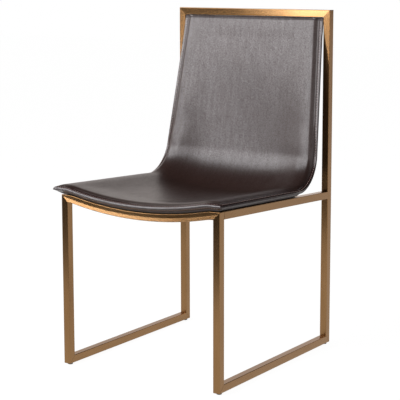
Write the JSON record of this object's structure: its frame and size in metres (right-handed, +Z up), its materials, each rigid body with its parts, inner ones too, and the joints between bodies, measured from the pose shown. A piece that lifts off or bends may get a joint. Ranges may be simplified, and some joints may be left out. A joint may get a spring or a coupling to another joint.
{
  "type": "dining chair",
  "caption": "Dining chair with closed sled sides of brass-finished square tube, an arched front rail and a stitched leather sling that forms seat and back.",
  "frame": {"origin": "on the floor, under the middle of the chair's overall width and depth, the leather's front edge included", "axes": "+Z up; -Y is the way the sitter faces, so +Y is towards the back; +X is the sitter's left, which is the right side seen from the front"},
  "size_m": [0.4886, 0.5522, 0.875],
  "materials": {
    "frame_tube": "brushed along the tube, satin",
    "leather": "smooth, satin sheen, fine grain",
    "inner_bar": "bent rod, mill finish",
    "strap": "black primer",
    "screw": "blackened",
    "glide": "moulded, matte"
  },
  "bodies": {
    "root": {"front_leg_left": "frame_tube", "rear_post_left": "frame_tube", "floor_rail_left": "frame_tube", "seat_side_rail_left": "frame_tube", "front_leg_right": "frame_tube", "rear_post_right": "frame_tube", "floor_rail_right": "frame_tube", "seat_side_rail_right": "frame_tube", "front_rail": "frame_tube", "top_rail": "frame_tube", "glide_front_left": "glide", "glide_rear_left": "glide", "side_bar_left": "inner_bar", "glide_front_right": "glide", "glide_rear_right": "glide", "side_bar_right": "inner_bar", "front_bar": "inner_bar", "top_strap": "strap", "leather_front_panel": "leather", "leather_back_panel": "leather", "seat_screw_front_left": "screw", "seat_screw_rear_left": "screw", "seat_screw_front_right": "screw", "seat_screw_rear_right": "screw"}
  },
  "joints": []
}
